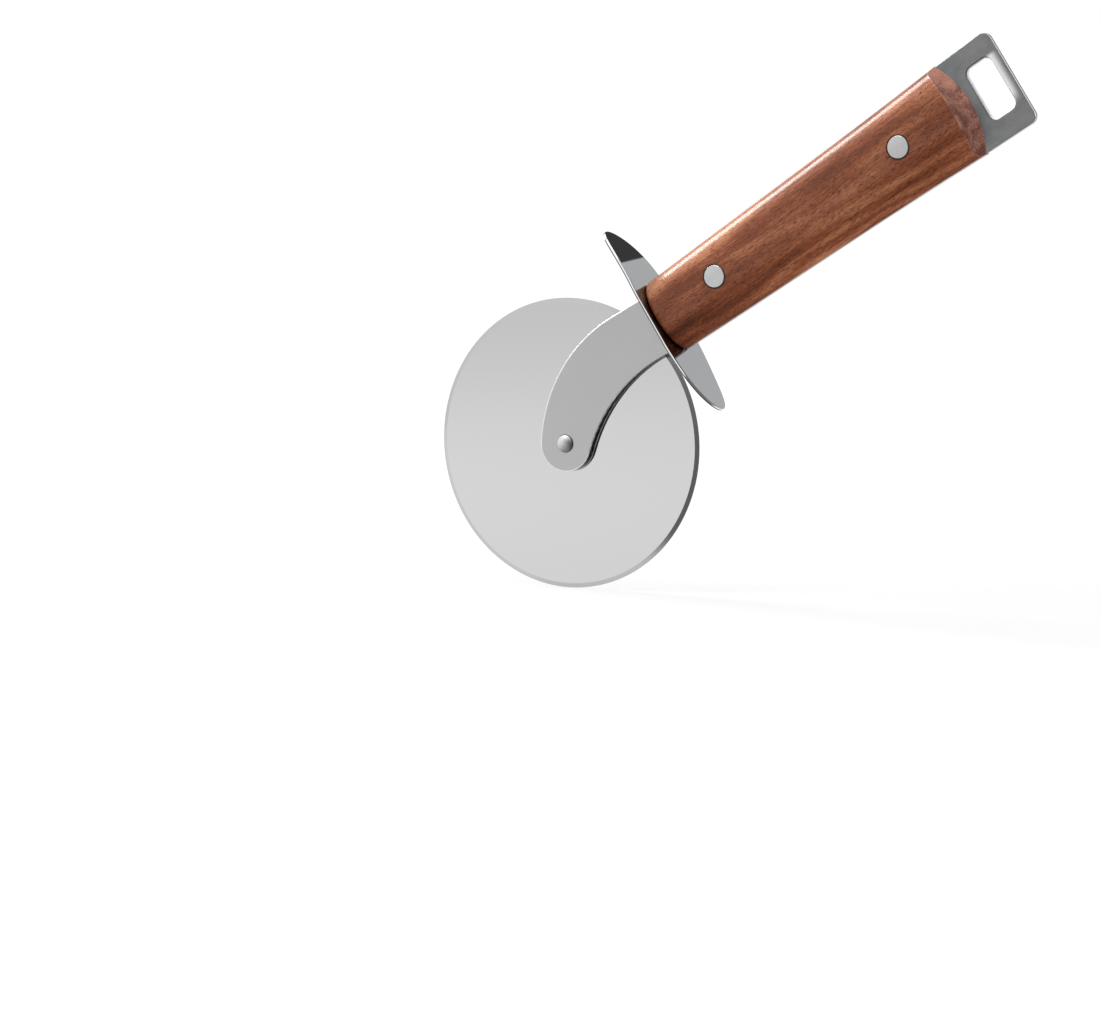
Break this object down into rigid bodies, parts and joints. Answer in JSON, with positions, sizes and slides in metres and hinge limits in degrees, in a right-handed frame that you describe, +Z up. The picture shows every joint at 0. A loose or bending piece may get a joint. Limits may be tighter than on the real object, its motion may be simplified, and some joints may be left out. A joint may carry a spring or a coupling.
{
  "type": "pizza cutter wheel",
  "caption": "Pizza cutter: a bevelled steel wheel riveted to a curved flat arm, with a bent oval finger guard, a riveted walnut handle and a slotted hanging tab.",
  "frame": {"origin": "centre of the cutting wheel, halfway through its thickness, on the axle", "axes": "+Y along the axle, away from the arm; the arm is on the -Y side of the wheel; +Z up; the handle rises towards +X and +Z, 33 degrees above level"},
  "size_m": [0.2222, 0.0234, 0.1895],
  "materials": {
    "polished_steel": "polished",
    "satin_steel": "satin",
    "guard_steel": "polished",
    "rivet_steel": "turned",
    "bush_steel": "satin",
    "walnut": "oiled"
  },
  "bodies": {
    "handle": {"wheel_bush": "bush_steel", "front_washer": "bush_steel", "rear_washer": "bush_steel", "axle_rivet": "rivet_steel", "tang_plate": "satin_steel", "finger_guard": "guard_steel", "front_scale": "walnut", "rear_scale": "walnut", "front_rivet_post": "rivet_steel", "front_rivet_pin": "rivet_steel", "rear_rivet_post": "rivet_steel", "rear_rivet_pin": "rivet_steel"},
    "wheel": {"cutting_wheel": "polished_steel"}
  },
  "joints": [
    {"name": "wheel_spin", "type": "hinge", "parent": "handle", "child": "wheel", "pos_m": [0, 0, 0], "axis": [0, 1, 0], "continuous": true}
  ]
}
